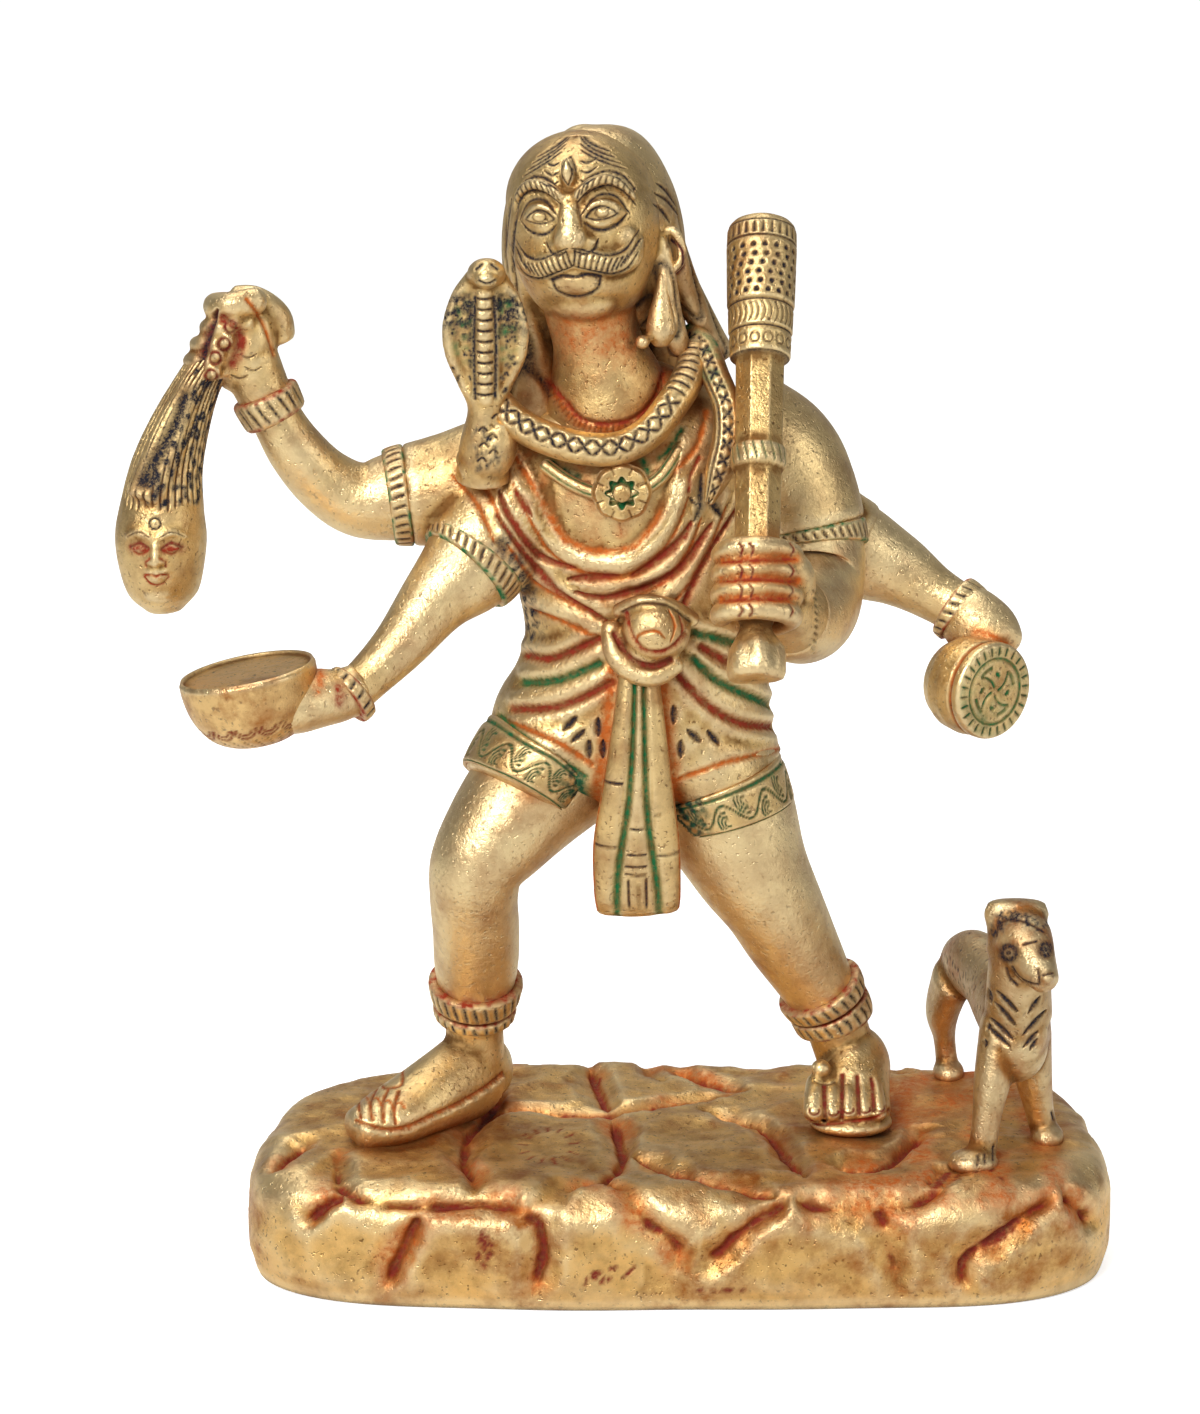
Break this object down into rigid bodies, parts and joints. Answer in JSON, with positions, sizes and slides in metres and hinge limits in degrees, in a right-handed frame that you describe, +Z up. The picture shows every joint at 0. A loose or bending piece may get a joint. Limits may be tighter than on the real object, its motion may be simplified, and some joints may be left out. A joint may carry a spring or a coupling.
{
  "type": "brass guardian deity statue",
  "caption": "Cast brass figure with four arms striding on a cracked-rock plinth, with a club, drum, bowl, hooded snake, severed head and a dog.",
  "frame": {"origin": "middle of the plinth's flat underside", "axes": "+Z up, the figure faces -Y, +X to the viewer's right"},
  "size_m": [0.2076, 0.0919, 0.2407],
  "materials": {
    "brass": "hand-finished cast brass with engraved lines and traces of red-brown, orange, green and black paint in the recesses"
  },
  "bodies": {
    "root": {"brass_casting": "brass"}
  },
  "joints": []
}
